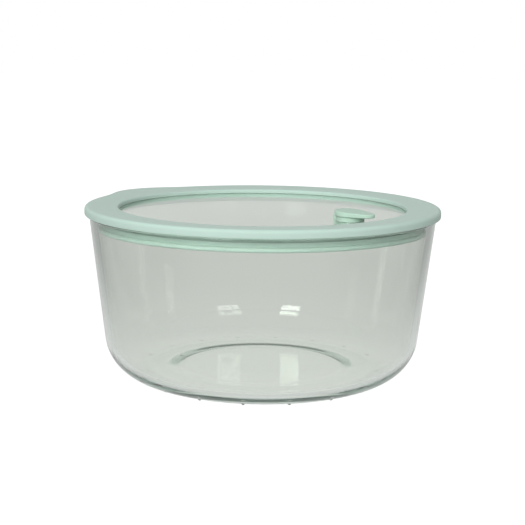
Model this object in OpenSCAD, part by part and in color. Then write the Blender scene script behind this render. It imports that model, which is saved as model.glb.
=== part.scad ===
// Round glass storage container with a press-in lid: a pressed glass bowl, a glass lid panel held in
// a soft silicone rim with a lift tab and a sealing bead, and a steam vent with a flip-up flap.
// Millimetres, +Z up. The origin is on the bowl's axis, on the table that the bowl stands on.
// The lift tab points to -X and the vent lies on the +X side of the lid.

/* [Glass bowl] */
// Height of the glass bowl from the table to the top of its rim
bowl_height = 94.7; // [75:0.1:130]
// Diameter of the flat base, where the heel curve starts
base_d = 131; // [110:1:160]
// Outer radius of the heel curve between base and wall
heel_radius = 26; // [18:1:32]
// Inner radius of the heel curve
inner_heel_radius = 20; // [14:1:24]
// Lean of the wall out from vertical, in degrees
wall_lean = 6.85; // [3:0.05:10]
// Thickness of the glass wall
glass_wall = 4.2; // [3.4:0.1:5.4]
// Rounding of the glass rim's two edges
rim_round = 1; // [0.5:0.1:1.6]
// Height of the glass floor above the table
glass_floor = 5.5; // [4.5:0.1:8]
// Width of the flat ring that the bowl stands on
foot_ring_w = 9; // [5:0.5:14]
// Depth of the hollow inside the foot ring
foot_hollow = 1; // [0.4:0.1:2]
// Run of the slope from the foot ring up to the hollow
foot_slope = 10; // [4:0.5:16]
// Number of grip nubs round the foot
nub_count = 18; // [6:1:36]
// Turn of the nubs from the vent's side, in degrees
nub_turn = 3; // [2:0.5:8]
// Radius of one grip nub
nub_radius = 1.1; // [0.8:0.1:1.6]
// Distance of the nubs outside the flat base
nub_offset = 6; // [4:0.5:7]
// Gap between the nubs and the table
nub_rise = 0.1; // [0:0.05:0.2]

/* [Lid rim] */
// Reach of the rim beyond the glass wall
rim_overhang = 2.7; // [1.5:0.1:6]
// Width of the rim from its edge to the window
rim_w = 19.4; // [16:0.1:26]
// Thickness of the rim's flange
flange_t = 4.8; // [4.2:0.1:7]
// Rounding of the flange's upper edge
flange_round = 2; // [0.8:0.1:2.3]
// Rounding of the flange's lower edge
under_round = 0.6; // [0.3:0.1:1.2]
// Flat land behind the rounded edge
flange_land = 1.5; // [0.8:0.1:3]
// Fall of the rim's top towards the window, in degrees
rim_fall = 2.8; // [0.5:0.1:5]
// Rounding of the rim's inner edge
inner_round = 1.2; // [0.5:0.1:1.6]
// Depth of the plug below the flange
plug_depth = 7.9; // [7:0.1:14]
// Wall of the plug's skirt
skirt_wall = 2.6; // [1.8:0.1:3.4]
// Radius of the sealing bead round the skirt's foot
bead_radius = 1.4; // [1:0.1:1.6]
// Reach of the sealing bead beyond the skirt
bead_reach = 1.7; // [1:0.1:2.2]
// Gap between the sealing bead and the glass wall
seal_gap = 0.25; // [0.15:0.05:0.6]
// Gap between the flange and the glass rim
seat_gap = 0.2; // [0.1:0.05:0.5]

/* [Lift tab] */
// Reach of the lift tab beyond the rim's edge
tab_reach = 8.4; // [5:0.1:14]
// Radius of the tab's rounded end
tab_round = 39; // [28:1:50]
// Radius of the hollow blends beside the tab
tab_blend = 90; // [50:1:120]

/* [Lid panel] */
// Thickness of the glass panel
panel_t = 4; // [3:0.1:5]
// Rounding of the panel's edge
panel_round = 1; // [0.4:0.1:1.4]
// Depth of the window below the top of the rim
window_drop = 3.25; // [2.6:0.05:4.5]
// Soft wall of the groove outside the panel's edge
groove_wall = 2.1; // [1.5:0.1:3]
// Thickness of the lip under the panel
lip_t = 2.3; // [1.6:0.1:3]
// Setback of the lip from the window's edge
lip_setback = 1.1; // [0:0.1:3]
// Gap round the panel's edge and round the vent's neck
press_gap = 0.05; // [0:0.01:0.1]

/* [Vent] */
// Diameter of the hole that lets steam out
vent_hole_d = 6; // [4:0.1:7]
// Diameter of the neck in the panel
neck_d = 13; // [11:0.1:14]
// Diameter of the collar on top of the panel
collar_d = 15.5; // [15:0.1:17]
// Height of the collar
collar_h = 2.5; // [1.8:0.1:4]
// Rounding of the collar's edges
collar_round = 0.5; // [0.2:0.1:0.8]
// Diameter of the foot under the panel
vent_foot_d = 16.6; // [15.5:0.1:18.5]
// Height of the foot under the panel
vent_foot_h = 1.6; // [1:0.1:2.4]

/* [Vent flap] */
// Diameter of the flap's round head
flap_d = 17; // [16:0.1:19]
// Thickness of the flap at its hinge
flap_t = 3.3; // [2.8:0.1:3.8]
// Thickness of the flap at the end of its pull tip
tip_t = 2; // [1.6:0.1:2.6]
// Rounding of the flap's edge
flap_round = 0.7; // [0.3:0.1:0.75]
// Reach of the pull tip from the middle of the vent
flap_reach = 15.3; // [13:0.1:19]
// Radius of the pull tip
tip_radius = 4.9; // [3.5:0.1:6]
// Gap between the pull tip and the window's edge
tip_margin = 4.8; // [0.3:0.1:8]
// Gap between the flap and the collar
flap_gap = 0.15; // [0.1:0.05:0.4]
// Distance of the hinge line inside the flap's head
hinge_inset = 1.25; // [1.1:0.05:1.6]
// Length of the hinge
hinge_w = 6; // [4:0.1:6.2]
// Running gap round the hinge knuckle
hinge_gap = 0.08; // [0.05:0.01:0.1]
// Depth of the hinge cradle below the hinge line
cradle_drop = 1.3; // [1.1:0.05:1.5]
// Width of the hinge cradle
cradle_w = 2.2; // [1.9:0.1:2.6]
// Depth of the flap's stopper in the steam hole
stopper_depth = 2.4; // [1.4:0.1:3]
// Gap round the top of the flap's stopper
stopper_gap = 0.15; // [0.1:0.05:0.3]
// Taper of the flap's stopper over its depth
stopper_taper = 0.85; // [0.6:0.05:1.2]

/* [Hidden] */
$fn = 120;

glass_colour = [0.78, 0.86, 0.82, 0.5];
rim_colour = "#bdd5ca";
vent_colour = "#bcd8c6";

// Overrun of a cut beyond what it cuts
cut = 1;
// Share of a plate's edge rounding that runs out past its faces
edge_ease = 0.03;
// Depth that the tab's blends and the flap's sides run into the round shapes beside them
blend_bite = 0.15;
side_bite = 0.05;
// Inset of the flap's sloping plate inside its level one, so that no two faces fall together
wedge_inset = 0.05;
// Turn of a nub's poles, level and away from the heel's own lines, in degrees
nub_pole_turn = 30;

// Bowl section: the outer heel arc, the leaning wall and a flat rim with rounded edges. Every point is
// [radius, height]. wall_up runs along the wall and wall_out stands square to it, outwards.
base_r = base_d / 2;
wall_up = [sin(wall_lean), cos(wall_lean)];
wall_out = [cos(wall_lean), -sin(wall_lean)];
heel_centre = [base_r, heel_radius];
wall_foot = heel_centre + heel_radius * wall_out;
half_wall = glass_wall / 2;

// Point at the height of the rim's roundings, a distance outside the middle of the wall
function rim_corner(offset) =
    let (start = wall_foot + (offset - half_wall) * wall_out)
    start + (bowl_height - rim_round - start[1]) / wall_up[1] * wall_up;

outer_corner = rim_corner(half_wall - rim_round);
inner_corner = rim_corner(rim_round - half_wall);
rim_outside = outer_corner + rim_round * wall_out;
rim_inside = inner_corner - rim_round * wall_out;

// Inner heel: its arc touches the floor and the inner face of the wall
inner_heel_z = glass_floor + inner_heel_radius;
inner_heel_r = rim_inside[0]
    - (inner_heel_radius + (rim_inside[1] - inner_heel_z) * sin(wall_lean)) / cos(wall_lean);
inner_heel_centre = [inner_heel_r, inner_heel_z];
inner_wall_foot = inner_heel_centre + inner_heel_radius * wall_out;

// Inner radius of the glass wall at a height
function wall_inside(z) = rim_inside[0] - (rim_inside[1] - z) * tan(wall_lean);

// Lid rim
lid_r = outer_corner[0] + rim_round + rim_overhang;
edge_r = lid_r - flange_round;
land_r = edge_r - flange_land;
opening_r = lid_r - rim_w;
flange_bottom = bowl_height + seat_gap;
flange_top = flange_bottom + flange_t;
inner_round_r = opening_r + inner_round;
inner_round_z = flange_top - (land_r - inner_round_r) * tan(rim_fall) - inner_round / cos(rim_fall);
plug_bottom = flange_bottom - plug_depth;
bead_z = plug_bottom + bead_radius;
bead_r = wall_inside(bead_z) - seal_gap - bead_radius;
plug_r = bead_r + bead_radius - bead_reach;
skirt_in_r = plug_r - skirt_wall;

// Lid panel
panel_r = plug_r - groove_wall;
panel_top = flange_top - window_drop;
panel_bottom = panel_top - panel_t;
lip_r = opening_r + lip_setback;
lip_bottom = panel_bottom - lip_t;

// Lift tab: its end is an arc about [-tab_x, 0], and each blend is an arc about a blend centre that
// touches the rim's edge and the tab's end
tab_x = lid_r + tab_reach - tab_round;
blend_far = lid_r + tab_blend;
blend_near = tab_round + tab_blend;
rim_angle = acos((blend_far^2 + tab_x^2 - blend_near^2) / (2 * blend_far * tab_x));
blend_centre = blend_far * [-cos(rim_angle), sin(rim_angle)];
tab_angle = atan2(blend_centre[1], -blend_centre[0] - tab_x);

// Vent
vent_x = opening_r - tip_margin - flap_reach;
collar_top = panel_top + collar_h;
flap_bottom = collar_top + flap_gap;
flap_r = flap_d / 2;
tip_x = flap_reach - tip_radius;
tip_angle = asin((flap_r - tip_radius) / tip_x);
side_out = [sin(tip_angle), cos(tip_angle)];
head_end = flap_r * side_out;
tip_end = [tip_x, 0] + tip_radius * side_out;
hinge_x = hinge_inset - flap_r;
hinge_z = flap_bottom + flap_t / 2;
cradle_top = hinge_z - cradle_drop;
stopper_r = vent_hole_d / 2 - stopper_gap;

// Section of a plate that ends in a rounded edge: the edge touches x = 0, the plate lies on the side of -x
module plate_section(reach, thickness, round, under) {
    low = under * (1 - edge_ease);
    high = thickness - round * (1 - edge_ease);
    intersection() {
        translate([-reach, 0]) square([reach, thickness]);
        union() {
            translate([-reach, 0]) square([reach - under, high]);
            translate([-reach, low]) square([reach - round, thickness - low]);
            translate([-reach, low]) square([reach, high - low]);
            translate([-under, low]) circle(under);
            translate([-round, high]) circle(round);
        }
    }
}

// Round plate with a rounded edge
module round_plate(radius, thickness, round, under)
    rotate_extrude() intersection() {
        translate([radius, 0]) plate_section(radius + cut, thickness, round, under);
        square([radius, thickness]);
    }

// Bowl's half section without the rim's roundings: heel disc and wall, less the inside and the foot's hollow
module bowl_section() {
    difference() {
        union() {
            translate(heel_centre) circle(heel_radius);
            polygon([
                [0, 0], [base_r, 0], wall_foot, rim_outside, [outer_corner[0], bowl_height],
                [inner_corner[0], bowl_height], rim_inside, [0, rim_inside[1]]
            ]);
        }
        translate(inner_heel_centre) circle(inner_heel_radius);
        polygon([
            [0, glass_floor], [inner_heel_r, glass_floor], inner_wall_foot,
            rim_inside + cut * wall_up, [0, bowl_height + cut]
        ]);
        foot_hollow_section();
    }
}

// Shallow hollow under the floor, inside the foot ring
module foot_hollow_section() {
    ring_r = base_r - foot_ring_w;
    steep = foot_slope / foot_hollow;
    polygon([
        [0, -cut], [ring_r + cut * steep, -cut], [ring_r - foot_slope, foot_hollow], [0, foot_hollow]
    ]);
}

module glass_bowl() color(glass_colour) {
    rotate_extrude() {
        bowl_section();
        for (corner = [outer_corner, inner_corner])
            translate(corner) circle(rim_round);
    }
    for (i = [0 : nub_count - 1])
        rotate([0, 0, nub_turn + i * 360 / nub_count])
            translate([base_r + nub_offset, 0, nub_radius + nub_rise])
                rotate([90, 0, nub_pole_turn]) sphere(nub_radius);
}

// Flange of the rim: rounded outer edge, flat land, falling top and rounded inner edge
module flange_section() {
    translate([lid_r, flange_bottom]) plate_section(lid_r - land_r, flange_t, flange_round, under_round);
    polygon([
        [opening_r, flange_bottom], [edge_r, flange_bottom], [edge_r, flange_top],
        [land_r, flange_top],
        [inner_round_r - inner_round * sin(rim_fall), inner_round_z + inner_round * cos(rim_fall)],
        [opening_r, inner_round_z]
    ]);
    translate([inner_round_r, inner_round_z]) circle(inner_round);
}

// Plug of the rim: the block round the panel, the skirt below it and the bead at the skirt's foot
module plug_section() {
    foot_r = skirt_in_r + bead_radius;
    translate([lip_r, lip_bottom]) square([plug_r - lip_r, flange_bottom + cut - lip_bottom]);
    translate([skirt_in_r, bead_z]) square([skirt_wall, lip_bottom + cut - bead_z]);
    translate([foot_r, plug_bottom]) square([bead_r - foot_r, 2 * bead_radius]);
    for (r = [foot_r, bead_r])
        translate([r, bead_z]) circle(bead_radius);
}

// Web between the rim and the tab's end on one side, hollowed by the blend with its rounded edge
module tab_web() difference() {
    linear_extrude(flange_t) polygon([[0, 0], blend_centre, [-tab_x, 0]]);
    translate(blend_centre) rotate_extrude() difference() {
        translate([0, -cut]) square([tab_blend + tab_round, flange_t + 2 * cut]);
        translate([tab_blend + blend_bite, 0]) mirror([1, 0])
            plate_section(tab_round, flange_t, flange_round, under_round);
    }
}

// Lift tab outside the rim's flat land: the round end and a blended web on each side
module lift_tab() translate([0, 0, flange_bottom]) difference() {
    union() {
        translate([-tab_x, 0]) round_plate(tab_round, flange_t, flange_round, under_round);
        for (side = [0, 1])
            mirror([0, side, 0]) tab_web();
    }
    translate([0, 0, -cut]) cylinder(r = edge_r - flange_land / 2, h = flange_t + 2 * cut);
}

module lid_rim() color(rim_colour) {
    rotate_extrude() difference() {
        union() {
            flange_section();
            plug_section();
        }
        translate([opening_r - cut, panel_bottom])
            square([panel_r + press_gap - opening_r + cut, panel_t]);
    }
    lift_tab();
}

module lid_panel() color(glass_colour) difference() {
    translate([0, 0, panel_bottom]) rotate_extrude() {
        square([panel_r - panel_round, panel_t]);
        translate([0, panel_round]) square([panel_r, panel_t - 2 * panel_round]);
        for (z = [panel_round, panel_t - panel_round])
            translate([panel_r - panel_round, z]) circle(panel_round);
    }
    translate([vent_x, 0, panel_bottom - cut])
        cylinder(d = neck_d + 2 * press_gap, h = panel_t + 2 * cut);
}

// Half section of the grommet: tapered foot, neck and rounded collar, round the steam hole
module grommet_section() {
    hole_r = vent_hole_d / 2;
    foot_r = vent_foot_d / 2;
    collar_r = collar_d / 2;
    foot_bottom = panel_bottom - vent_foot_h;
    polygon([
        [hole_r, foot_bottom], [neck_d / 2, foot_bottom], [foot_r, panel_bottom - vent_foot_h / 2],
        [foot_r, panel_bottom], [neck_d / 2, panel_bottom], [neck_d / 2, panel_top],
        [collar_r, panel_top], [collar_r, collar_top - collar_round],
        [collar_r - collar_round, collar_top], [hole_r, collar_top]
    ]);
    translate([collar_r - collar_round, collar_top - collar_round]) circle(collar_round);
}

module vent_grommet() color(vent_colour) translate([vent_x, 0, 0]) difference() {
    union() {
        rotate_extrude() grommet_section();
        translate([hinge_x - cradle_w, -hinge_w / 2, panel_top]) {
            cube([cradle_w, hinge_w, cradle_top - panel_top]);
            cube([2 * cradle_w, hinge_w, collar_h - collar_round]);
        }
    }
    translate([hinge_x, 0, hinge_z]) rotate([90, 0, 0])
        cylinder(r = flap_t / 2 + hinge_gap, h = 2 * flap_d, center = true);
}

// One straight side of the flap with its rounded edge, from the head to the tip
module flap_side(thickness, inset) {
    run = tip_end - head_end;
    translate(head_end - (side_bite + inset) * side_out) rotate([0, 0, atan2(run[1], run[0])])
        rotate([90, 0, 90]) linear_extrude(norm(run))
            plate_section(tip_radius - inset, thickness, flap_round, flap_round);
}

// Plate with the flap's outline: round head, pull tip and the straight sides that touch both
module flap_plate(thickness, inset) {
    round_plate(flap_r - inset, thickness, flap_round, flap_round);
    translate([tip_x, 0]) round_plate(tip_radius - inset, thickness, flap_round, flap_round);
    for (side = [0, 1])
        mirror([0, side, 0]) flap_side(thickness, inset);
}

// Flap's wedge: where a level plate, which gives the underside, and a plate that slopes down from the
// hinge to the tip, which gives the top, overlap
module flap_wedge() {
    fall = (flap_t - tip_t) / (flap_reach - hinge_x);
    slope = [[1, 0, 0, 0], [0, 1, 0, 0], [-fall, 0, 1, fall * hinge_x], [0, 0, 0, 1]];
    intersection() {
        flap_plate(2 * flap_t, 0);
        multmatrix(slope) translate([0, 0, -flap_t]) flap_plate(2 * flap_t, wedge_inset);
    }
}

module vent_flap() color(vent_colour) translate([vent_x, 0, 0]) {
    difference() {
        translate([0, 0, flap_bottom]) flap_wedge();
        translate([hinge_x - flap_d, -flap_d, flap_bottom - cut])
            cube([flap_d, 2 * flap_d, flap_t + 2 * cut]);
    }
    translate([hinge_x, 0, hinge_z]) rotate([90, 0, 0])
        cylinder(d = flap_t, h = hinge_w, center = true);
    translate([0, 0, flap_bottom - stopper_depth])
        cylinder(r1 = stopper_r - stopper_taper, r2 = stopper_r, h = stopper_depth + flap_t / 2);
}

glass_bowl();
lid_rim();
lid_panel();
vent_grommet();
vent_flap();
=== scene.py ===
"""Looks of a round glass storage container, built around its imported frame.

A clear pressed bowl carries a press-in lid: a flat glass panel in a soft silicone rim, with a steam vent.
Every piece is a surface of revolution or an outline with a rounded edge, worked out in millimetres in the
frame's own axes: +Z up, the vent towards +X and the lift tab towards -X. The meshes are stored in metres.
"""

import logging
import math
from dataclasses import dataclass, field, replace
from enum import Enum

import bpy
import numpy as np
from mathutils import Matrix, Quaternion, Vector


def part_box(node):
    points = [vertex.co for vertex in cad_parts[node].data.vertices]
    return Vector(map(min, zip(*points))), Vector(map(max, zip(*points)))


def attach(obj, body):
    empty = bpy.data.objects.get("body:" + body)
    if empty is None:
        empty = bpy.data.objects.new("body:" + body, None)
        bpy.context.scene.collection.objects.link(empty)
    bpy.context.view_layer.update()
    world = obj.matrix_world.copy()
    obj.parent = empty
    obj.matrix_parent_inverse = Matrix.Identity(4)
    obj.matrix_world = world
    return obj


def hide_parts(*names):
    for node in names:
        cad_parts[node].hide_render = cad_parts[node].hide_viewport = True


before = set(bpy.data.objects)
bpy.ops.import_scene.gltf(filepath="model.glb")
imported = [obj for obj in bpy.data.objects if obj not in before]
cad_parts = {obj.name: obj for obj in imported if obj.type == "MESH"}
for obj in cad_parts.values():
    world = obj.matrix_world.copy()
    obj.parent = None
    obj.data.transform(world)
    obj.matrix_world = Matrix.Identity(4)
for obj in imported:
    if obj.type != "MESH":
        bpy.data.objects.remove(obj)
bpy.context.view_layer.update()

LOG = logging.getLogger("container")
Array = np.ndarray
Pair = tuple[float, float]
Point = Pair | Array
Colour = tuple[float, float, float, float]
Tree = bpy.types.NodeTree
Socket = bpy.types.NodeSocket

MM = 0.001
SHARP_DEGREES = 32
SAME_POINT = 1e-6


class Body(Enum):
    """Bodies of the frame that a piece can ride on."""

    BOWL = "bowl"
    LID = "lid"
    FLAP = "flap"


class Slot(Enum):
    """Material slots of the record."""

    BOWL_GLASS = "bowl_glass"
    PANEL_GLASS = "panel_glass"
    RIM_SILICONE = "rim_silicone"
    VENT_SILICONE = "vent_silicone"


class Closing(Enum):
    """Ways to close a grid whose columns already run round: into a ring, to two poles or with flat caps."""

    RING = "ring"
    POLES = "poles"
    CAPS = "caps"


# Colours and nodes


def linear(hex_colour: str) -> Colour:
    """Turns an sRGB hex colour into linear light.

    Args:
        hex_colour: colour as "#rrggbb".

    Returns:
        Linear red, green and blue with an alpha of one.
    """
    parts = [int(hex_colour[i:i + 2], 16) / 255 for i in (1, 3, 5)]
    red, green, blue = [p / 12.92 if p <= 0.04045 else ((p + 0.055) / 1.055) ** 2.4 for p in parts]
    return red, green, blue, 1.0


def grey(level: float) -> Colour:
    """Linear grey of one level."""
    return level, level, level, 1.0


def empty_tree(owner: bpy.types.Material | bpy.types.World) -> Tree:
    """Gives a material or a world an empty node tree."""
    owner.use_nodes = True
    owner.node_tree.nodes.clear()
    return owner.node_tree


def add_node(tree: Tree, kind: str, inputs: dict | None = None, **settings: object) -> bpy.types.Node:
    """Adds one node with its settings and inputs.

    Args:
        tree: tree that takes the node.
        kind: Blender's name of the node's type.
        inputs: for each named or numbered input, the output socket that feeds it or its constant value.
        **settings: properties of the node itself.

    Returns:
        The new node.
    """
    node = tree.nodes.new(kind)
    for name, value in settings.items():
        setattr(node, name, value)
    for name, source in (inputs or {}).items():
        if isinstance(source, Socket):
            tree.links.new(source, node.inputs[name])
        else:
            node.inputs[name].default_value = source
    return node


def calculate(tree: Tree, operation: str, *terms: Socket | float) -> Socket:
    """Result of a Math node on sockets and numbers, in order."""
    return add_node(tree, "ShaderNodeMath", dict(enumerate(terms)), operation=operation).outputs["Value"]


def measure(tree: Tree, operation: str, *vectors: Socket | Vector) -> Socket:
    """Number that a Vector Math node works out from vectors: a length or a dot product."""
    node = add_node(tree, "ShaderNodeVectorMath", dict(enumerate(vectors)), operation=operation)
    return node.outputs["Value"]


def fade(tree: Tree, value: Socket, span: Pair, levels: Pair, interpolation: str = "LINEAR") -> Socket:
    """Goes from the first level to the second while a value crosses a span, and stays level outside it."""
    node = add_node(
        tree, "ShaderNodeMapRange",
        {"Value": value, "From Min": span[0], "From Max": span[1], "To Min": levels[0], "To Max": levels[1]},
        interpolation_type=interpolation)
    return node.outputs["Result"]


def mixed(tree: Tree, share: Socket, first: Socket, second: Socket) -> Socket:
    """Shader that goes from the first to the second as the share goes from nought to one."""
    return add_node(tree, "ShaderNodeMixShader", {0: share, 1: first, 2: second}).outputs["Shader"]


def by_ray(tree: Tree, light: Socket, in_glass: Socket, straight: Socket) -> Socket:
    """Shows the room in its own way to matt pieces, to glass and to the camera.

    Args:
        tree: tree of the floor or the world.
        light: shader that lights matt pieces.
        in_glass: shader that shows in and through glass.
        straight: shader that the camera sees.

    Returns:
        Socket with the shader of all three.
    """
    rays = add_node(tree, "ShaderNodeLightPath").outputs
    mirror = calculate(tree, "MAXIMUM", rays["Is Glossy Ray"], rays["Is Transmission Ray"])
    # The depth is a whole number, nought until the ray has met a matt piece
    direct = calculate(tree, "LESS_THAN", rays["Diffuse Depth"], 0.5)
    inside = mixed(tree, calculate(tree, "MULTIPLY", mirror, direct), light, in_glass)
    return mixed(tree, rays["Is Camera Ray"], inside, straight)


def grey_ramp(tree: Tree, levels: tuple[Pair, ...], value: Socket) -> Socket:
    """Grey on a ramp that has a stop for each pair of value and level, in order."""
    ramp = add_node(tree, "ShaderNodeValToRGB", {"Fac": value})
    stops = ramp.color_ramp.elements
    for place, _ in levels[1:-1]:
        stops.new(place)
    for stop, (place, level) in zip(stops, levels):
        stop.position = place
        stop.color = grey(level)
    return ramp.outputs["Color"]


def coordinates(tree: Tree, kind: str = "Object") -> Socket:
    """Place of the shaded point, by default in the object's own axes."""
    return add_node(tree, "ShaderNodeTexCoord").outputs[kind]


def noise(tree: Tree, place: Socket, size_mm: float, detail: float, roughness: float) -> Socket:
    """Noise with waves of one size and finer layers of a given number and strength over them."""
    node = add_node(
        tree, "ShaderNodeTexNoise",
        {"Vector": place, "Scale": 1 / (size_mm * MM), "Detail": detail, "Roughness": roughness})
    return node.outputs["Fac"]


def bumped(tree: Tree, height: Socket, depth_mm: float) -> Socket:
    """Normal of a surface with a fine relief of one depth."""
    node = add_node(tree, "ShaderNodeBump", {"Height": height, "Strength": 1.0, "Distance": depth_mm * MM})
    return node.outputs["Normal"]


# Finishes


@dataclass(frozen=True)
class GlassFinish:
    """Soda-lime glass: clear, hard and glossy, with a green cast that only thick edges show.

    Args:
        name: name of the material.
        wave_mm: length of the slow waves that forming leaves in the surface.
        wave_height_mm: height of those waves.
        roughness: roughness of the surface.
        cast: colour that a long way through the glass keeps.
        cast_depth_mm: way through the glass that gives the cast its full strength.
        ior: refractive index.
        lamp_share: share of the lamps' light that goes straight through, as a colour.
        tint: colour that each surface lends to what is seen through it.
    """

    name: str
    wave_mm: float
    wave_height_mm: float
    roughness: float
    cast: str = "#86b8a4"
    cast_depth_mm: float = 78.0
    ior: float = 1.51
    lamp_share: str = "#fafcfb"
    tint: str = "#fafcf8"

    def material(self) -> bpy.types.Material:
        """Builds the glass: a refracting surface over absorbing glass, which lamps shine through."""
        made = bpy.data.materials.new(self.name)
        tree = empty_tree(made)
        # Pressed and rolled glass is never quite flat, so what it mirrors bends a little
        waves = noise(tree, coordinates(tree), self.wave_mm, detail=1.0, roughness=0.4)
        glass = add_node(
            tree, "ShaderNodeBsdfPrincipled",
            {"Base Color": linear(self.tint), "Roughness": self.roughness, "IOR": self.ior,
             "Transmission Weight": 1.0, "Normal": bumped(tree, waves, self.wave_height_mm)})
        # Lamps shine straight through, so what stands behind the glass is lit as it is in the open
        clear = add_node(tree, "ShaderNodeBsdfTransparent", {"Color": linear(self.lamp_share)})
        rays = add_node(tree, "ShaderNodeLightPath")
        surface = mixed(tree, rays.outputs["Is Shadow Ray"], glass.outputs["BSDF"], clear.outputs["BSDF"])
        depth = add_node(
            tree, "ShaderNodeVolumeAbsorption",
            {"Color": linear(self.cast), "Density": 1 / (self.cast_depth_mm * MM)})
        add_node(tree, "ShaderNodeOutputMaterial", {"Surface": surface, "Volume": depth.outputs["Volume"]})
        return made


@dataclass(frozen=True)
class SiliconeFinish:
    """Moulded silicone rubber: matt and even, a little see-through at its edges, with a fine mould grain.

    Args:
        name: name of the material.
        colour: body colour of the rubber.
        shade: colour of the faint cloudy patches in it.
        painted_shade_colour: colour of painted shade on the flange's underside where it lies on the glass
            rim, standing for the dark crevice there.
        painted_shade_z_mm: height of the shaded underside.
        painted_shade_r_mm: radius out to which that underside is shaded.
        painted_shade_span_mm: distances from the underside's height over which the free colour comes back.
        painted_shade_fade_mm: width of the fade outside that radius.
        roughness: roughness of the surface.
        ior: refractive index.
        sheen: strength of the soft sheen.
        sheen_roughness: its roughness.
        grain_mm: size of the mould grain.
        grain_depth_mm: depth of that grain.
        cloud_mm: size of the cloudy patches.
        glow: share of the light that spreads inside the rubber.
        glow_mm: distance over which it spreads.
        glow_colours: spread of red, green and blue, as shares of that distance.
    """

    name: str
    colour: str
    shade: str
    painted_shade_colour: str = "#5d7a6b"
    painted_shade_z_mm: float | None = None
    painted_shade_r_mm: float = 0.0
    painted_shade_span_mm: Pair = (0.1, 0.5)
    painted_shade_fade_mm: float = 0.8
    roughness: float = 0.62
    ior: float = 1.41
    sheen: float = 0.12
    sheen_roughness: float = 0.5
    grain_mm: float = 0.9
    grain_depth_mm: float = 0.012
    cloud_mm: float = 14.0
    glow: float = 0.15
    glow_mm: float = 0.7
    glow_colours: tuple[float, float, float] = (1.0, 1.2, 1.1)

    def with_painted_shade(self, tree: Tree, place: Socket, colour: Socket) -> Socket:
        """Darkens the face that lies on glass with painted shade, which stands for the dark crevice under
        the flange.

        Args:
            tree: tree of the material.
            place: socket with the place of the shaded point.
            colour: colour of the free surface.

        Returns:
            Colour of the whole surface.
        """
        height = add_node(tree, "ShaderNodeSeparateXYZ", {0: place}).outputs["Z"]
        gap = calculate(tree, "ABSOLUTE", calculate(tree, "SUBTRACT", height, self.painted_shade_z_mm * MM))
        near, far = self.painted_shade_span_mm
        level = fade(tree, gap, (near * MM, far * MM), (1.0, 0.0))
        flat = add_node(tree, "ShaderNodeVectorMath", {0: place, 1: (1.0, 1.0, 0.0)}, operation="MULTIPLY")
        reach = measure(tree, "LENGTH", flat.outputs["Vector"])
        edge = self.painted_shade_r_mm * MM
        within = fade(tree, reach, (edge, edge + self.painted_shade_fade_mm * MM), (1.0, 0.0))
        whole = add_node(
            tree, "ShaderNodeMix",
            {"Factor": calculate(tree, "MULTIPLY", level, within), "A": colour, "B": linear(self.painted_shade_colour)},
            data_type="RGBA")
        return whole.outputs["Result"]

    def material(self) -> bpy.types.Material:
        """Builds the rubber: cloudy colour, mould grain, a soft sheen and any painted shade under the
        flange.
        """
        made = bpy.data.materials.new(self.name)
        tree = empty_tree(made)
        place = coordinates(tree)
        clouds = noise(tree, place, self.cloud_mm, detail=3.0, roughness=0.5)
        colour = add_node(
            tree, "ShaderNodeMix", {"Factor": clouds, "A": linear(self.colour), "B": linear(self.shade)},
            data_type="RGBA").outputs["Result"]
        # Painted shade: the underside that lies on the glass rim is darkened for the shade in the crevice
        # there
        if self.painted_shade_z_mm is not None:
            colour = self.with_painted_shade(tree, place, colour)
        # The mould's blasted grain is finer than a pixel, so it is drawn coarse enough to show
        grain = noise(tree, place, self.grain_mm, detail=2.0, roughness=0.6)
        rubber = add_node(
            tree, "ShaderNodeBsdfPrincipled",
            {"Base Color": colour, "Roughness": self.roughness, "IOR": self.ior, "Sheen Weight": self.sheen,
             "Sheen Roughness": self.sheen_roughness, "Subsurface Weight": self.glow,
             "Subsurface Radius": self.glow_colours, "Subsurface Scale": self.glow_mm * MM,
             "Normal": bumped(tree, grain, self.grain_depth_mm)})
        add_node(tree, "ShaderNodeOutputMaterial", {"Surface": rubber.outputs["BSDF"]})
        return made


BOWL_GLASS = GlassFinish("pressed_tempered_glass", wave_mm=34, wave_height_mm=0.05, roughness=0.0)
PANEL_GLASS = GlassFinish(
    "flat_tempered_glass", wave_mm=60, wave_height_mm=0.012, roughness=0.0, tint="#f6fcf4")
RIM_SILICONE = SiliconeFinish("moulded_mint_silicone", colour="#c6dfd4", shade="#c2dbd0")
VENT_SILICONE = SiliconeFinish("moulded_vent_silicone", colour="#c2e0ce", shade="#bedcca")


# Sections and surfaces


def on_circle(centre: Point, radius: float, degrees: Array) -> Array:
    """Points on a circle at angles in degrees."""
    angle = np.radians(degrees)
    return np.asarray(centre) + radius * np.column_stack([np.cos(angle), np.sin(angle)])


def arc(centre: Point, radius: float, start: float, end: float, steps: int) -> Array:
    """Points on a circle's arc.

    Args:
        centre: middle of the circle.
        radius: its radius.
        start: angle of the first point, in degrees.
        end: angle of the last point, in degrees.
        steps: number of steps between them.

    Returns:
        Points, one to a row.
    """
    return on_circle(centre, radius, np.linspace(start, end, steps + 1))


def line(start: Point, end: Point, steps: int = 1, pad: float = 0.15) -> Array:
    """Points on a straight run, with one more close to each end so that rounded ends shade cleanly.

    Args:
        start: first end.
        end: last end.
        steps: number of even steps between the ends.
        pad: distance of the extra points from the ends.

    Returns:
        Points, one to a row.
    """
    length = math.dist(start, end)
    share = np.linspace(0, 1, steps + 1)
    if length > 4 * pad:
        share = np.unique(np.concatenate([share, [pad / length, 1 - pad / length]]))
    return np.asarray(start) + share[:, None] * (np.asarray(end) - np.asarray(start))


def join(*runs: Point) -> Array:
    """Joins points and runs of points end to end and drops each point that repeats the one before it."""
    points = np.concatenate([np.atleast_2d(run) for run in runs])
    step = np.linalg.norm(np.diff(points, axis=0), axis=1)
    return points[np.concatenate([[True], step > SAME_POINT])]


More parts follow.
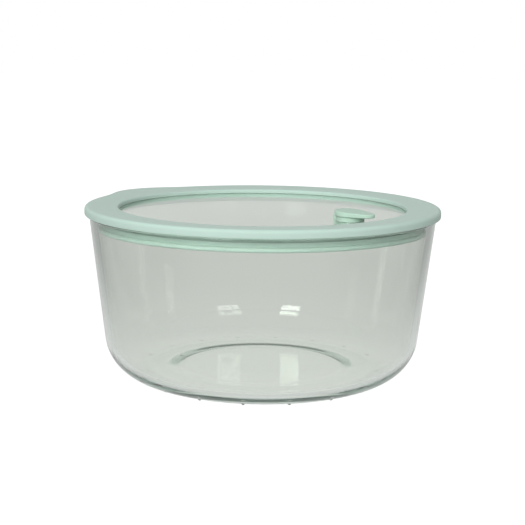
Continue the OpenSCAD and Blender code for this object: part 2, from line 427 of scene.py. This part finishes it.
def chain(*runs: Point, pad: float = 0.15) -> Array:
    """Joins corners and runs of points by straight lines, with extra points a pad from their ends."""
    parts = [np.atleast_2d(run) for run in runs]
    links = [line(before[-1], after[0], pad=pad) for before, after in zip(parts, parts[1:])]
    return join(parts[0], *(run for both in zip(links, parts[1:]) for run in both))


@dataclass
class Surface:
    """A closed surface: points in millimetres, four-sided faces and any other faces, as point numbers."""

    points: Array
    quads: Array
    others: list[list[int]] = field(default_factory=list)

    @classmethod
    def from_rows(cls, rows: Array, closing: Closing) -> "Surface":
        """Joins rows of points into a surface that is closed round its columns.

        Args:
            rows: points by row, column and axis.
            closing: how the first and the last row are closed.

        Returns:
            The surface, with its faces outwards.
        """
        count, width = rows.shape[:2]
        number = np.arange(count * width).reshape(count, width)
        beside = np.roll(number, -1, axis=1)
        last = count if closing is Closing.RING else count - 1
        above = np.roll(number, -1, axis=0)
        above_beside = np.roll(beside, -1, axis=0)
        quads = np.stack([number, beside, above_beside, above], axis=-1)[:last].reshape(-1, 4)
        points = rows.reshape(-1, 3)
        others = []
        if closing is Closing.POLES:
            points = np.concatenate([points, rows[:1].mean(axis=1), rows[-1:].mean(axis=1)])
            first_pole = np.full(width, count * width)
            fans = np.concatenate([
                np.stack([beside[0], number[0], first_pole], axis=-1),
                np.stack([number[-1], beside[-1], first_pole + 1], axis=-1)])
            others = fans.tolist()
        if closing is Closing.CAPS:
            others = [number[0, ::-1].tolist(), number[-1].tolist()]
        return cls(points, quads, others).outward()

    def outward(self) -> "Surface":
        """Turns the faces round if the surface holds a negative volume, so that they point outwards."""
        fans = [[face[0], *pair] for face in self.others for pair in zip(face[1:], face[2:])]
        triangles = np.concatenate([self.quads[:, [0, 1, 2]], self.quads[:, [0, 2, 3]],
                                    np.array(fans, dtype=int).reshape(-1, 3)])
        a, b, c = self.points[triangles].transpose(1, 0, 2)
        if np.einsum("ij,ij->", a, np.cross(b, c)) < 0:
            return Surface(self.points, self.quads[:, ::-1], [face[::-1] for face in self.others])
        return self


def ring_angles(steps: int) -> Array:
    """Even angles round a full turn, in radians, without the doubled last one."""
    return np.linspace(0, 2 * np.pi, steps, endpoint=False)


def turned(section: Array, angles: Array, centre: Pair = (0.0, 0.0)) -> Array:
    """Turns a section of radius and height about an upright axis.

    Args:
        section: points as radius and height.
        angles: angles of the columns, in radians.
        centre: place of the axis.

    Returns:
        Points by row, column and axis.
    """
    radius, height = section[:, :1], section[:, 1:]
    east = centre[0] + radius * np.cos(angles)
    north = centre[1] + radius * np.sin(angles)
    return np.stack([east, north, np.broadcast_to(height, east.shape)], axis=-1)


@dataclass
class Outline:
    """A closed outline seen from above: its points and the outward direction at each."""

    points: Array
    out: Array

    @classmethod
    def of_arcs(cls, *arcs: tuple[Point, float, float, float, int, int]) -> "Outline":
        """Chains arcs that touch each other.

        Args:
            *arcs: for each, its centre, radius, start and end angle in degrees, steps, and one where the
                outline bulges there or minus one where it is hollow.

        Returns:
            The outline, without doubled points where arcs meet.
        """
        points, out = [], []
        for centre, radius, start, end, steps, sense in arcs:
            run = arc(centre, radius, start, end, steps)[:-1]
            points.append(run)
            out.append(sense * (run - np.asarray(centre)) / radius)
        return cls(np.concatenate(points), np.concatenate(out))

    def rows(self, section: Array) -> Array:
        """Carries a section, given as distance inside the outline and height, round the outline."""
        flat = self.points - section[:, 0, None, None] * self.out
        height = np.broadcast_to(section[:, 1, None, None], (*flat.shape[:2], 1))
        return np.concatenate([flat, height], axis=-1)


def rounded_edge(low: float, high: float, radius: float, under: float, pad: float = 0.15) -> Array:
    """Section of a plate's rounded edge, from its top to its underside.

    Args:
        low: height of the underside.
        high: height of the top.
        radius: radius of the upper rounding.
        under: radius of the lower rounding.
        pad: distance of one more point inside each rounding, so that the flat faces shade cleanly.

    Returns:
        Points as distance inside the outline and height.
    """
    return join(
        (radius + pad, high),
        arc((radius, high - radius), radius, 90, 180, 12),
        arc((under, low + under), under, 180, 270, 12),
        (under + pad, low))


def add_object(name: str, data: bpy.types.ID) -> bpy.types.Object:
    """Puts a new object with its data into the scene."""
    made = bpy.data.objects.new(name, data)
    bpy.context.scene.collection.objects.link(made)
    return made


def add_piece(name: str, surfaces: list[Surface], finish: GlassFinish | SiliconeFinish, body: Body,
              node: str) -> None:
    """Makes one finished piece, which rides on a body and stands for a node of the frame.

    Args:
        name: name of the piece.
        surfaces: closed surfaces that make it up.
        finish: finish of its surface.
        body: body that carries it.
        node: node that it stands for.
    """
    starts = np.cumsum([0] + [len(s.points) for s in surfaces])
    points = np.concatenate([s.points for s in surfaces]) * MM
    faces = []
    for surface, start in zip(surfaces, starts):
        faces += (surface.quads + start).tolist()
        faces += [[corner + int(start) for corner in face] for face in surface.others]
    mesh = bpy.data.meshes.new(name)
    mesh.from_pydata(points.tolist(), [], faces)
    mesh.polygons.foreach_set("use_smooth", np.ones(len(faces), dtype=bool))
    mesh.set_sharp_from_angle(angle=math.radians(SHARP_DEGREES))
    mesh.materials.append(finish.material())
    piece = add_object(name, mesh)
    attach(piece, body.value)
    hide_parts(node)
    LOG.info("%s: %d points, %d faces on %s", name, len(points), len(faces), body.value)


def box_mm(node: str) -> tuple[Vector, Vector]:
    """Lowest and highest corner of a node of the frame, in millimetres."""
    low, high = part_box(node)
    return low / MM, high / MM


# Sub-assemblies


@dataclass
class GlassBowl:
    """Pressed glass bowl: hollow foot, heel, leaning wall, flat rim with rounded edges and grip nubs."""

    base_r: float = 65.5
    heel_radius: float = 26.0
    inner_heel_radius: float = 20.0
    wall_lean: float = 6.85
    wall: float = 4.2
    floor: float = 5.5
    rim_round: float = 1.0
    foot_ring_w: float = 9.0
    foot_hollow: float = 1.0
    foot_slope: float = 10.0
    nub_count: int = 18
    nub_turn: float = 3.0
    nub_radius: float = 1.1
    nub_offset: float = 6.0
    nub_rise: float = 0.1
    nub_margin: float = 1.3
    pole_r: float = 1.0
    slope_points: int = 17
    heel_points: tuple[int, int, int] = (8, 18, 36)
    column_points: tuple[int, int] = (14, 12)

    def __post_init__(self) -> None:
        """Works out the wall's place from the frame's height."""
        self.height = box_mm("glass_bowl")[1].z
        lean = math.radians(self.wall_lean)
        self.up = np.array([math.sin(lean), math.cos(lean)])
        self.out = np.array([math.cos(lean), -math.sin(lean)])
        self.wall_foot = np.array([self.base_r, self.heel_radius]) + self.heel_radius * self.out
        middle_foot = self.wall_foot - self.wall / 2 * self.out
        self.rim_centre = middle_foot + (self.height - self.wall / 2 - middle_foot[1]) / self.up[1] * self.up
        inside = self.rim_centre - self.wall / 2 * self.out
        heel_z = self.floor + self.inner_heel_radius
        drop = (inside[1] - heel_z) * math.sin(lean)
        self.inner_heel = np.array([inside[0] - (self.inner_heel_radius + drop) / math.cos(lean), heel_z])

    def foot_slope_run(self) -> Array:
        """Soft step from the hollow down to the foot ring, along half a cosine wave."""
        share = np.linspace(0, 1, self.slope_points)
        start = self.base_r - self.foot_ring_w - self.foot_slope
        height = self.foot_hollow * (1 + np.cos(np.pi * share)) / 2
        return np.column_stack([start + self.foot_slope * share, height])

    def heel_angles(self) -> Array:
        """Angles on the heel's arc, in degrees, close together where the grip nubs stand."""
        middle = -90 + math.degrees(math.asin(self.nub_offset / self.heel_radius))
        half = self.nub_margin * math.degrees(self.nub_radius / self.heel_radius)
        below, across, above = self.heel_points
        return np.concatenate([
            np.linspace(-90, middle - half, below, endpoint=False),
            np.linspace(middle - half, middle + half, across, endpoint=False),
            np.linspace(middle + half, -self.wall_lean, above)])

    def rim_corner(self, offset: float) -> Array:
        """Middle of a rounding on the rim, a distance outside the middle of the wall."""
        start = self.rim_centre + offset * self.out
        rise = self.height - self.rim_round - start[1]
        return start + rise / self.up[1] * self.up

    def section(self) -> Array:
        """Half section from the middle of the underside round the rim to the middle of the floor."""
        outer_heel = on_circle((self.base_r, self.heel_radius), self.heel_radius, self.heel_angles())
        slope = self.foot_slope_run()
        turn = self.rim_round
        outer_turn = self.rim_corner(self.wall / 2 - turn)
        inner_turn = self.rim_corner(turn - self.wall / 2)
        rim_out = outer_turn + turn * self.out
        rim_in = inner_turn - turn * self.out
        inner_foot = self.inner_heel + self.inner_heel_radius * self.out
        return join(
            line((self.pole_r, self.foot_hollow), slope[0], 6),
            slope,
            line(slope[-1], (self.base_r, 0.0), 2),
            outer_heel,
            line(self.wall_foot, rim_out, 8),
            arc(outer_turn, turn, -self.wall_lean, 90, 14),
            arc(inner_turn, turn, 90, 180 - self.wall_lean, 14),
            line(rim_in, inner_foot, 8),
            arc(self.inner_heel, self.inner_heel_radius, -self.wall_lean, -90, 32),
            line((self.inner_heel[0], self.floor), (self.pole_r, self.floor), 6))

    def columns(self) -> Array:
        """Angles round the bowl, close together where the grip nubs stand."""
        pitch = 2 * np.pi / self.nub_count
        half = self.nub_margin * self.nub_radius / (self.base_r + self.nub_offset)
        across, between = self.column_points
        fine = np.linspace(-half, half, across, endpoint=False)
        coarse = np.linspace(half, pitch - half, between, endpoint=False)
        turn = math.radians(self.nub_turn) + pitch * np.arange(self.nub_count)
        return (turn[:, None] + np.concatenate([fine, coarse])).ravel()

    def raise_nubs(self, rows: Array, angles: Array) -> Array:
        """Pushes the heel out into round nubs: each is the cap of a ball that stands in the heel.

        Args:
            rows: points of the plain bowl by row, column and axis.
            angles: angles of the columns.

        Returns:
            The points with the nubs.
        """
        pitch = 2 * np.pi / self.nub_count
        start = math.radians(self.nub_turn)
        nearest = start + pitch * np.round((angles - start) / pitch)
        balls = turned(
            np.array([[self.base_r + self.nub_offset, self.nub_radius + self.nub_rise]]), nearest)
        away = rows - turned(np.array([[self.base_r, self.heel_radius]]), angles)
        away = away / np.linalg.norm(away, axis=-1, keepdims=True)
        to_ball = balls - rows
        along = np.einsum("ijk,ijk->ij", to_ball, away)
        aside = np.linalg.norm(to_ball - along[..., None] * away, axis=-1)
        cap = along + np.sqrt(np.clip(self.nub_radius ** 2 - aside ** 2, 0, None))
        on_nub = (aside < self.nub_radius) & (np.abs(along) < self.nub_radius)
        lift = np.where(on_nub, np.clip(cap, 0, None), 0)
        return rows + lift[..., None] * away

    def build(self) -> None:
        """Builds the bowl with its nubs in pressed glass."""
        section = self.section()
        angles = self.columns()
        rows = turned(section, angles)
        # The section starts under the bowl, so the low points early on its run are those outside
        run = np.cumsum(np.hypot(*np.diff(section, axis=0, prepend=section[:1]).T))
        outer = (section[:, 1] < self.heel_radius) & (run < 2 * self.base_r)
        rows[outer] = self.raise_nubs(rows[outer], angles)
        surface = Surface.from_rows(rows, Closing.POLES)
        add_piece("bowl", [surface], BOWL_GLASS, Body.BOWL, "glass_bowl")


@dataclass
class LidRim:
    """Silicone rim of the lid: flange with lift tab, groove round the panel and plug skirt with its bead."""

    flange_t: float = 4.8
    flange_round: float = 2.0
    under_round: float = 0.6
    flange_land: float = 1.5
    width: float = 19.4
    fall: float = 2.8
    inner_round: float = 1.2
    tab_round: float = 39.0
    tab_blend: float = 90.0
    bead_radius: float = 1.4
    bead_reach: float = 1.7
    skirt_wall: float = 2.6
    groove_wall: float = 2.1
    groove_gap: float = 0.05
    lip_t: float = 2.3
    lip_setback: float = 1.1
    relief_depth: float = 1.0
    relief_h: float = 2.6
    soft_edge: float = 0.35

    def __post_init__(self) -> None:
        """Takes the rim's reach and heights from the frame."""
        low, high = box_mm("lid_rim")
        self.radius = high.y
        self.tab_x = -low.x - self.tab_round
        self.top = high.z
        self.bottom = self.top - self.flange_t
        self.plug_bottom = low.z
        self.edge_r = self.radius - self.flange_round
        self.land_r = self.edge_r - self.flange_land
        self.opening_r = self.radius - self.width
        panel_low, panel_high = box_mm("lid_panel")
        self.panel_bottom = panel_low.z
        self.panel_top = panel_high.z
        self.plug_r = panel_high.y + self.groove_wall
        self.bead = np.array([self.plug_r + self.bead_reach - self.bead_radius, low.z + self.bead_radius])

    def outline(self) -> Outline:
        """Outer edge from above: the rim's circle, a hollow blend on each side and the tab's round end."""
        far = self.radius + self.tab_blend
        near = self.tab_round + self.tab_blend
        cosine = (far ** 2 + self.tab_x ** 2 - near ** 2) / (2 * far * self.tab_x)
        rim_angle = math.degrees(math.acos(cosine))
        blend = far * np.array([-cosine, math.sin(math.radians(rim_angle))])
        tab_angle = math.degrees(math.atan2(blend[1], -blend[0] - self.tab_x))
        return Outline.of_arcs(
            ((0.0, 0.0), self.radius, rim_angle - 180, 180 - rim_angle, 420, 1),
            (blend, self.tab_blend, -rim_angle, -tab_angle, 20, -1),
            ((-self.tab_x, 0.0), self.tab_round, 180 - tab_angle, 180 + tab_angle, 48, 1),
            ((blend[0], -blend[1]), self.tab_blend, tab_angle, rim_angle, 20, -1))

    def top_run(self) -> Array:
        """Section from the window's edge over the soft inner rounding and up the falling top to the land."""
        tilt = math.radians(self.fall)
        centre_r = self.opening_r + self.inner_round
        drop = (self.land_r - centre_r) * math.tan(tilt)
        centre_z = self.top - drop - self.inner_round / math.cos(tilt)
        inner = arc((centre_r, centre_z), self.inner_round, 180, 90 + self.fall, 12)
        return join(
            line((self.opening_r, self.panel_top + self.soft_edge), inner[0]),
            inner,
            line(inner[-1], (self.land_r, self.top), 3))

    def under_run(self) -> Array:
        """Section from the flange's underside round relief, plug, bead, lip and groove to the window."""
        bead_r, bead_z = self.bead
        skirt_in = self.plug_r - self.skirt_wall
        foot_r = skirt_in + self.bead_radius
        lip_bottom = self.panel_bottom - self.lip_t
        lip_r = self.opening_r + self.lip_setback
        soft = self.soft_edge
        groove_r = self.plug_r - self.groove_wall + self.groove_gap
        meet = math.degrees(math.acos((self.plug_r - bead_r) / self.bead_radius))
        bead = arc((bead_r, bead_z), self.bead_radius, meet, -90, 24)
        relief_r = self.plug_r - self.relief_depth
        relief_z = self.bottom - self.relief_h
        return chain(
            line((self.edge_r, self.bottom), (relief_r + soft, self.bottom), 2),
            arc((relief_r + soft, self.bottom - soft), soft, 90, 180, 5),
            (relief_r, relief_z),
            arc((self.plug_r - soft, relief_z - soft), soft, 90, 0, 5),
            line((self.plug_r, relief_z - soft), bead[0], 2),
            bead,
            arc((foot_r, bead_z), self.bead_radius, -90, -180, 12),
            (skirt_in, lip_bottom),
            arc((lip_r + soft, lip_bottom + soft), soft, -90, -180, 6),
            (lip_r, self.panel_bottom),
            (groove_r, self.panel_bottom),
            (groove_r, self.panel_top),
            arc((self.opening_r + soft, self.panel_top + soft), soft, 270, 180, 6))

    def build(self) -> None:
        """Builds the rim in moulded silicone."""
        outline = self.outline()
        angles = np.arctan2(outline.points[:, 1], outline.points[:, 0])
        rows = np.concatenate([
            turned(self.top_run(), angles),
            outline.rows(rounded_edge(self.bottom, self.top, self.flange_round, self.under_round)),
            turned(self.under_run()[1:], angles)])
        surface = Surface.from_rows(rows, Closing.RING)
        # The flange's underside over the glass rim gets painted shade
        finish = replace(RIM_SILICONE, painted_shade_z_mm=self.bottom, painted_shade_r_mm=box_mm("glass_bowl")[1].y)
        add_piece("rim", [surface], finish, Body.LID, "lid_rim")


@dataclass
class LidPanel:
    """Flat glass panel with a rounded edge and a round hole for the vent."""

    edge_round: float = 1.0
    hole_round: float = 0.4
    hole_gap: float = 0.05
    neck_d: float = 13.0
    seat_gap: float = 0.03

    def build(self, vent_x: float) -> None:
        """Builds the panel: each column runs from the hole's edge straight out to the panel's edge and back.

        Args:
            vent_x: place of the hole's axis.
        """
        low, high = box_mm("lid_panel")
        bottom = low.z + self.seat_gap
        top = high.z - self.seat_gap
        radius = high.y
        angles = ring_angles(360)
        heading = np.column_stack([np.cos(angles), np.sin(angles)])
        across = vent_x * heading[:, 0]
        reach = -across + np.sqrt(across ** 2 + radius ** 2 - vent_x ** 2)
        rim = np.array([vent_x, 0.0]) + reach[:, None] * heading
        outline = Outline(rim, rim / radius)
        hole_r = self.neck_d / 2 + self.hole_gap
        soft = self.hole_round
        hole = join(
            (hole_r + 2 * soft, bottom),
            arc((hole_r + soft, bottom + soft), soft, 270, 180, 6),
            arc((hole_r + soft, top - soft), soft, 180, 90, 6),
            (hole_r + 2 * soft, top))
        edge = rounded_edge(bottom, top, self.edge_round, self.edge_round)
        rows = np.concatenate([turned(hole, angles, (vent_x, 0.0)), outline.rows(edge)])
        surface = Surface.from_rows(rows, Closing.RING)
        add_piece("panel", [surface], PANEL_GLASS, Body.LID, "lid_panel")


@dataclass
class Vent:
    """Steam vent: a grommet clipped through the panel and a flap with pull tip, stopper and knuckle."""

    hole_d: float = 6.0
    neck_d: float = 13.0
    collar_d: float = 15.5
    collar_round: float = 0.5
    foot_d: float = 16.6
    foot_h: float = 1.6
    collar_h: float = 2.5
    head_r: float = 8.5
    flap_t: float = 3.3
    tip_t: float = 2.0
    flap_round: float = 0.7
    tip_radius: float = 4.9
    flap_reach: float = 15.3
    hinge_inset: float = 1.25
    hinge_w: float = 6.0
    hinge_gap: float = 0.08
    cradle_w: float = 2.2
    cradle_drop: float = 1.3
    cradle_end: float = 0.94
    stopper_depth: float = 2.4
    stopper_gap: float = 0.15
    stopper_taper: float = 0.85
    soft_edge: float = 0.2
    knuckle_pole_r: float = 0.1
    stopper_pole_r: float = 0.2
    pad: float = 0.1

    def __post_init__(self) -> None:
        """Takes the vent's place and heights from the frame."""
        panel_low, panel_high = box_mm("lid_panel")
        self.x = box_mm("vent_grommet")[1].x - self.foot_d / 2
        self.flap_top = box_mm("vent_flap")[1].z
        self.flap_bottom = self.flap_top - self.flap_t
        self.panel_bottom = panel_low.z
        self.panel_top = panel_high.z
        self.collar_top = self.panel_top + self.collar_h
        self.hinge_x = self.x + self.hinge_inset - self.head_r
        self.hinge_z = self.flap_bottom + self.flap_t / 2

    def grommet_section(self) -> Array:
        """Section round the steam hole: hole, collar, neck in the panel and tapered foot."""
        soft = self.soft_edge
        hole_r, neck_r = self.hole_d / 2, self.neck_d / 2
        collar_r, foot_r = self.collar_d / 2, self.foot_d / 2
        foot_bottom = self.panel_bottom - self.foot_h
        turn = self.collar_round
        return chain(
            (hole_r, foot_bottom),
            arc((hole_r + soft, self.collar_top - soft), soft, 180, 90, 5),
            arc((collar_r - turn, self.collar_top - turn), turn, 90, 0, 8),
            arc((collar_r - soft, self.panel_top + soft), soft, 0, -90, 4),
            (neck_r, self.panel_top),
            (neck_r, self.panel_bottom),
            arc((foot_r - soft, self.panel_bottom - soft), soft, 90, 0, 4),
            (foot_r, self.panel_bottom - self.foot_h / 2),
            (neck_r, foot_bottom),
            pad=self.pad)

    def cradle(self) -> Surface:
        """Lug beside the collar, carried along the hinge, with the hollow that the knuckle turns in."""
        soft = self.soft_edge
        bore = self.flap_t / 2 + self.hinge_gap
        top = self.hinge_z - self.cradle_drop
        side = math.degrees(math.asin(self.cradle_drop / bore))
        back = self.hinge_x - self.cradle_w
        front = self.hinge_x + self.cradle_w
        step = self.collar_top - self.collar_round
        section = join(
            (back, self.panel_top),
            arc((back + soft, top - soft), soft, 180, 90, 5),
            arc((self.hinge_x, self.hinge_z), bore, 180 + side, 270, 8),
            (self.hinge_x, step),
            (front, step),
            (front, self.panel_top))
        half = self.hinge_w / 2
        along = np.array([-half, -half + soft, half - soft, half])
        middle = section.mean(axis=0)
        shrink = np.array([self.cradle_end, 1.0, 1.0, self.cradle_end])
        flat = middle + shrink[:, None, None] * (section - middle)
        flat[..., 1] = np.maximum(flat[..., 1], self.panel_top)
        depth = np.broadcast_to(along[:, None, None], (*flat.shape[:2], 1))
        rows = np.concatenate([flat[..., :1], depth, flat[..., 1:]], axis=-1)
        return Surface.from_rows(rows, Closing.CAPS)

    def build_grommet(self) -> None:
        """Builds the grommet with its hinge cradle."""
        rows = turned(self.grommet_section(), ring_angles(120), (self.x, 0.0))
        surfaces = [Surface.from_rows(rows, Closing.RING), self.cradle()]
        add_piece("vent_seat", surfaces, VENT_SILICONE, Body.LID, "vent_grommet")

    def flap_outline(self) -> Outline:
        """Flap from above: round head and round pull tip with straight sides that touch both."""
        tip_x = self.flap_reach - self.tip_radius
        lean = 90 - math.degrees(math.asin((self.head_r - self.tip_radius) / tip_x))
        head = arc((self.x, 0.0), self.head_r, lean, 360 - lean, 96)
        tip = arc((self.x + tip_x, 0.0), self.tip_radius, -lean, lean, 40)
        head_out = (head - [self.x, 0.0]) / self.head_r
        tip_out = (tip - [self.x + tip_x, 0.0]) / self.tip_radius
        return Outline(np.concatenate([head, tip]), np.concatenate([head_out, tip_out]))

    def knuckle(self) -> Surface:
        """Hinge knuckle: a bar with rounded ends along the hinge line."""
        radius, half, soft = self.flap_t / 2, self.hinge_w / 2, self.soft_edge
        section = join(
            (self.knuckle_pole_r, -half),
            arc((radius - soft, -half + soft), soft, -90, 0, 5),
            arc((radius - soft, half - soft), soft, 0, 90, 5),
            (self.knuckle_pole_r, half))
        bar = turned(section, ring_angles(40))
        placed = np.stack([self.hinge_x + bar[..., 0], bar[..., 2], self.hinge_z + bar[..., 1]], axis=-1)
        return Surface.from_rows(placed, Closing.POLES)

    def stopper(self) -> Surface:
        """Tapered plug under the flap that closes the steam hole."""
        top_r = self.hole_d / 2 - self.stopper_gap
        low = self.flap_bottom - self.stopper_depth
        tip_r = top_r - self.stopper_taper
        soft = self.soft_edge
        section = join(
            (self.stopper_pole_r, low),
            arc((tip_r - soft, low + soft), soft, -90, 0, 5),
            line((tip_r, low + soft), (top_r, self.flap_bottom), pad=self.pad),
            (top_r, self.hinge_z),
            (self.stopper_pole_r, self.hinge_z))
        return Surface.from_rows(turned(section, ring_angles(72), (self.x, 0.0)), Closing.POLES)

    def build_flap(self) -> None:
        """Builds the flap with its stopper and knuckle."""
        edge = rounded_edge(self.flap_bottom, self.flap_top, self.flap_round, self.flap_round)
        rows = self.flap_outline().rows(edge)
        # The plate thins from the hinge to the tip, so its heights shrink along it
        along = (rows[..., 0] - self.hinge_x) / (self.x + self.flap_reach - self.hinge_x)
        thickness = self.flap_t - (self.flap_t - self.tip_t) * along
        rows[..., 2] = self.flap_bottom + (rows[..., 2] - self.flap_bottom) * thickness / self.flap_t
        rows[..., 2] = np.minimum(rows[..., 2], self.flap_top)
        plate = Surface.from_rows(rows, Closing.CAPS)
        surfaces = [plate, self.stopper(), self.knuckle()]
        add_piece("flap", surfaces, VENT_SILICONE, Body.FLAP, "vent_flap")


# Studio


@dataclass(frozen=True)
class Softbox:
    """A lamp with a soft rectangular face, aimed at the middle of the container.

    Args:
        name: name of the lamp.
        azimuth: direction from the container, in degrees from the camera's side, positive to the right.
        elevation: height above the horizon, in degrees.
        distance: distance in metres.
        width: width of its face in metres.
        height: height of its face in metres.
        watts: power.
    """

    name: str
    azimuth: float
    elevation: float
    distance: float
    width: float
    height: float
    watts: float


@dataclass
class Studio:
    """Camera, floor, backdrop and lamps at the photograph's viewing angle."""

    camera_bearing: float = -49.5
    camera_elevation: float = 9.89
    camera_distance_mm: float = 724.5
    camera_roll: float = 0.68
    camera_shift: float = 0.0006
    clip_start_m: float = 0.01
    aim_z_mm: float = 65.5
    lens_mm: float = 85.0
    sensor_mm: float = 36.0
    floor_half_m: float = 6.0
    floor_gap_mm: float = 0.2
    matt_level: float = 0.36
    shade_level: float = 0.22
    white_span_m: Pair = (0.3, 0.7)
    white_levels: Pair = (0.9, 1.0)
    # Painted shade on the paper to both sides, as glass shows it
    painted_side_shade_span: Pair = (0.14, 0.32)
    painted_side_shade_levels: Pair = (1.0, 0.6)
    key_azimuth: float = -33.5
    key_span: Pair = (-0.6, 1.0)
    key_levels: Pair = (0.28, 0.97)
    # Painted light on the paper in rings by reach from the container, as glass shows it
    painted_paper_levels: tuple[Pair, ...] = (
        (0.05, 0.81), (0.11, 0.71), (0.19, 0.685), (0.28, 0.665), (0.40, 0.66), (0.62, 0.695), (1.0, 0.705))
    room_levels: tuple[Pair, ...] = ((0.05, 0.68), (0.35, 0.28), (0.65, 0.28), (0.95, 0.42))
    softboxes: tuple[Softbox, ...] = (
        Softbox("left_softbox", -25.5, 20.8, 1.3, 0.34, 0.76, 5.5),
        Softbox("right_softbox", 29, 20.8, 1.3, 0.42, 0.76, 3.0),
    )
    all_bounces: int = 96
    glass_bounces: int = 64
    clear_bounces: int = 24

    def direction(self, azimuth: float, elevation: float) -> Vector:
        """Direction from the container, given from the camera's side.

        Args:
            azimuth: angle to the right of the camera, in degrees.
            elevation: angle above the horizon, in degrees.

        Returns:
            The direction as a unit vector.
        """
        bearing = math.radians(self.camera_bearing + azimuth)
        rise = math.radians(elevation)
        level = math.cos(rise)
        return Vector((math.cos(bearing) * level, math.sin(bearing) * level, math.sin(rise)))

    def aim(self, thing: bpy.types.Object, away: Vector, distance: float, roll: float = 0.0) -> None:
        """Places a camera or lamp, aims it at the middle and rolls it, with metres and degrees."""
        thing.location = Vector((0, 0, self.aim_z_mm * MM)) + away * distance
        thing.rotation_mode = "QUATERNION"
        turn = Quaternion((0, 0, 1), math.radians(roll))
        thing.rotation_quaternion = (-away).to_track_quat("-Z", "Y") @ turn

    def add_camera(self) -> None:
        """Places the camera where the photograph was taken from."""
        data = bpy.data.cameras.new("camera")
        data.lens = self.lens_mm
        data.sensor_width = self.sensor_mm
        data.shift_x = self.camera_shift
        data.clip_start = self.clip_start_m
        camera = add_object("camera", data)
        away = self.direction(0, self.camera_elevation)
        self.aim(camera, away, self.camera_distance_mm * MM, self.camera_roll)
        bpy.context.scene.camera = camera

    def add_softboxes(self) -> None:
        """Hangs the lamps round the container."""
        for box in self.softboxes:
            data = bpy.data.lights.new(box.name, "AREA")
            data.shape = "RECTANGLE"
            data.size = box.width
            data.size_y = box.height
            data.energy = box.watts
            lamp = add_object(box.name, data)
            self.aim(lamp, self.direction(box.azimuth, box.elevation), box.distance)

    def painted_paper_light(self, tree: Tree, place: Socket, reach: Socket) -> Socket:
        """Painted light and shade on the paper as glass shows it: grey in rings by its reach, lightest close
        to the container, and painted shade to both sides.
        """
        aside = calculate(tree, "ABSOLUTE", measure(tree, "DOT_PRODUCT", place, self.direction(90, 0)))
        deep = calculate(tree, "ABSOLUTE", measure(tree, "DOT_PRODUCT", place, self.direction(0, 0)))
        start = self.camera_distance_mm * MM * math.cos(math.radians(self.camera_elevation))
        spread = calculate(tree, "DIVIDE", aside, calculate(tree, "ADD", start, deep))
        sides = fade(tree, spread, self.painted_side_shade_span, self.painted_side_shade_levels, "SMOOTHSTEP")
        return calculate(tree, "MULTIPLY", grey_ramp(tree, self.painted_paper_levels, reach), sides)

    def add_floor(self) -> None:
        """Lays the pale floor: white straight on, and in and through glass a pale grey glow of painted light
        and shade on its paper.
        """
        half = self.floor_half_m
        # A film of air stays between glass and paper, so the foot mirrors light into the glass
        low = -self.floor_gap_mm * MM
        corners = [(-half, -half, low), (half, -half, low), (half, half, low), (-half, half, low)]
        mesh = bpy.data.meshes.new("floor")
        mesh.from_pydata(corners, [], [(0, 1, 2, 3)])
        made = bpy.data.materials.new("matt_paper_sweep")
        tree = empty_tree(made)
        place = coordinates(tree)
        reach = measure(tree, "LENGTH", place)
        # Painted light: for glass the floor glows in greys that stand for its lit paper, with painted shade
        # to both sides
        paper = add_node(tree, "ShaderNodeEmission", {"Color": self.painted_paper_light(tree, place, reach)})
        matt = add_node(tree, "ShaderNodeBsdfDiffuse", {"Color": grey(self.matt_level)})
        shade = add_node(tree, "ShaderNodeBsdfDiffuse", {"Color": grey(self.shade_level)})
        far = fade(tree, reach, self.white_span_m, self.white_levels)
        white = add_node(tree, "ShaderNodeEmission", {"Color": far})
        seen = add_node(
            tree, "ShaderNodeAddShader", {0: shade.outputs["BSDF"], 1: white.outputs["Emission"]})
        surface = by_ray(tree, matt.outputs["BSDF"], paper.outputs["Emission"], seen.outputs["Shader"])
        add_node(tree, "ShaderNodeOutputMaterial", {"Surface": surface})
        made.cycles.emission_sampling = "NONE"
        mesh.materials.append(made)
        floor = add_object("floor", mesh)

    def add_world(self) -> None:
        """Sets the room: white straight on, grey in and through glass, and a plain light all round."""
        world = bpy.data.worlds.new("studio")
        bpy.context.scene.world = world
        tree = empty_tree(world)
        place = coordinates(tree, "Generated")
        ahead = measure(tree, "DOT_PRODUCT", place, self.direction(0, 0))
        room = grey_ramp(tree, self.room_levels, fade(tree, ahead, (-1.0, 1.0), (0.0, 1.0)))
        lobe = measure(tree, "DOT_PRODUCT", place, self.direction(self.key_azimuth, 0))
        front = fade(tree, lobe, self.key_span, self.key_levels)
        light, in_glass, straight = [
            add_node(tree, "ShaderNodeBackground", {"Color": colour}).outputs["Background"]
            for colour in (front, room, grey(1.0))]
        surface = by_ray(tree, light, in_glass, straight)
        add_node(tree, "ShaderNodeOutputWorld", {"Surface": surface})

    def build(self) -> None:
        """Builds the whole studio."""
        self.add_camera()
        self.add_softboxes()
        self.add_floor()
        self.add_world()
        scene = bpy.context.scene
        scene.view_settings.view_transform = "Standard"
        # Light runs through the thick base as it does through a pane's edge, so its rays are followed far
        scene.cycles.max_bounces = self.all_bounces
        scene.cycles.transmission_bounces = self.glass_bounces
        scene.cycles.glossy_bounces = self.glass_bounces
        scene.cycles.transparent_max_bounces = self.clear_bounces


def main() -> None:
    """Builds the studio and the container's pieces in order."""
    logging.basicConfig(level=logging.INFO, format="%(message)s")
    Studio().build()
    GlassBowl().build()
    vent = Vent()
    LidRim().build()
    LidPanel().build(vent.x)
    vent.build_grommet()
    vent.build_flap()


if __name__ == "__main__":
    main()
